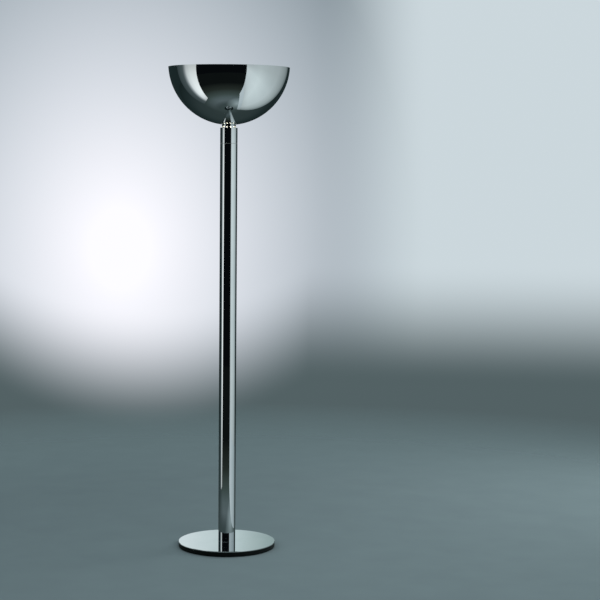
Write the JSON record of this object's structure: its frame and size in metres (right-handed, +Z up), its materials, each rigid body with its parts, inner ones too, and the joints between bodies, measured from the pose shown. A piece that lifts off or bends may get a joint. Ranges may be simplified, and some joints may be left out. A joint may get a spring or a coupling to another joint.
{
  "type": "torchiere floor lamp",
  "caption": "Tall floor-standing uplighter: disc base, slim mirror-finish stem, vented neck and open spherical bowl over a linear lamp.",
  "frame": {"origin": "centre of the floor contact, under the stem's axis", "axes": "+Z up along the stem, the cable inlet at the back towards +Y, +X to the right seen from the front"},
  "size_m": [0.4193, 0.4192, 1.68],
  "materials": {
    "polished_chrome": "mirror-polished chrome on steel",
    "cast_iron_black": "black stove enamel on a turned casting",
    "black_rubber": "soft matt black",
    "black_plastic": "fine moulded texture",
    "zinc_steel": "zinc-plated, satin",
    "brass": "bare machined brass",
    "white_nylon": "natural nylon",
    "phosphor_bronze": "rolled strip",
    "ceramic": "unglazed steatite",
    "quartz": "clear fused quartz",
    "tungsten": "coiled filament, glowing when lit",
    "guard_glass": "clear heat-resistant glass with ground edges",
    "circuit_board": "green solder mask",
    "copper_wire": "enamelled copper winding",
    "white_lacquer": "white heat-resistant lacquer, satin",
    "anodised_reflector": "bright anodised",
    "lead_sheath": "black flexible sheath",
    "silicone_leads": "white silicone insulation"
  },
  "bodies": {
    "stand": {"floor_pad": "black_rubber", "base_weight": "cast_iron_black", "base_plate": "polished_chrome", "recess_cover": "black_plastic", "cover_screws": "zinc_steel", "cable_grommet": "black_rubber", "cable_clamp": "zinc_steel", "clamp_screws": "zinc_steel", "terminal_block": "ceramic", "terminal_screws": "brass", "earth_tag": "brass", "earth_screw": "brass", "stem_foot": "zinc_steel", "foot_screws": "zinc_steel", "foot_washers": "zinc_steel", "stem_tube": "polished_chrome", "stem_lead": "lead_sheath", "dimmer_can": "black_plastic", "dimmer_board": "circuit_board", "dimmer_choke": "copper_wire", "dimmer_triac": "zinc_steel", "head_plug": "zinc_steel", "dimmer_track": "circuit_board", "track_lead": "lead_sheath", "stop_pin": "zinc_steel", "lower_bush": "white_nylon", "spindle": "zinc_steel", "spindle_nuts": "zinc_steel", "vent_collar": "polished_chrome", "bowl": "polished_chrome", "bowl_washer": "black_rubber", "bowl_nut": "zinc_steel", "lamp_bracket": "white_lacquer", "bracket_nut": "zinc_steel", "lampholder_left": "ceramic", "lampholder_right": "ceramic", "holder_screws": "zinc_steel", "fixed_contact": "brass", "contact_spring": "zinc_steel", "lamp_tube": "quartz", "lamp_caps": "ceramic", "lamp_filament": "tungsten", "lamp_leads": "silicone_leads", "reflector": "anodised_reflector", "reflector_posts": "zinc_steel", "reflector_screws": "zinc_steel", "hinge_pins": "zinc_steel"},
    "turning_sleeve": {"dimmer_sleeve": "polished_chrome", "upper_bush": "white_nylon", "wiper_carrier": "white_nylon", "wiper_fingers": "phosphor_bronze"},
    "guard": {"guard_frame": "white_lacquer", "guard_glass": "guard_glass", "guard_clips": "zinc_steel", "clip_screws": "zinc_steel"},
    "lamp_contact": {"sprung_contact": "brass"}
  },
  "joints": [
    {"name": "dimmer_turn", "type": "hinge", "parent": "stand", "child": "turning_sleeve", "pos_m": [0, 0, 1.44], "axis": [0, 0, 1], "range_deg": [0, 270]},
    {"name": "guard_hinge", "type": "hinge", "parent": "stand", "child": "guard", "pos_m": [0, 0.038, 1.581], "axis": [-1, 0, 0], "range_deg": [0, 105]},
    {"name": "contact_press", "type": "slide", "parent": "stand", "child": "lamp_contact", "axis": [1, 0, 0], "range_m": [0, 0.003], "stiffness_N_per_m": 600, "springref_m": -0.004, "deforming": ["contact_spring"]}
  ]
}
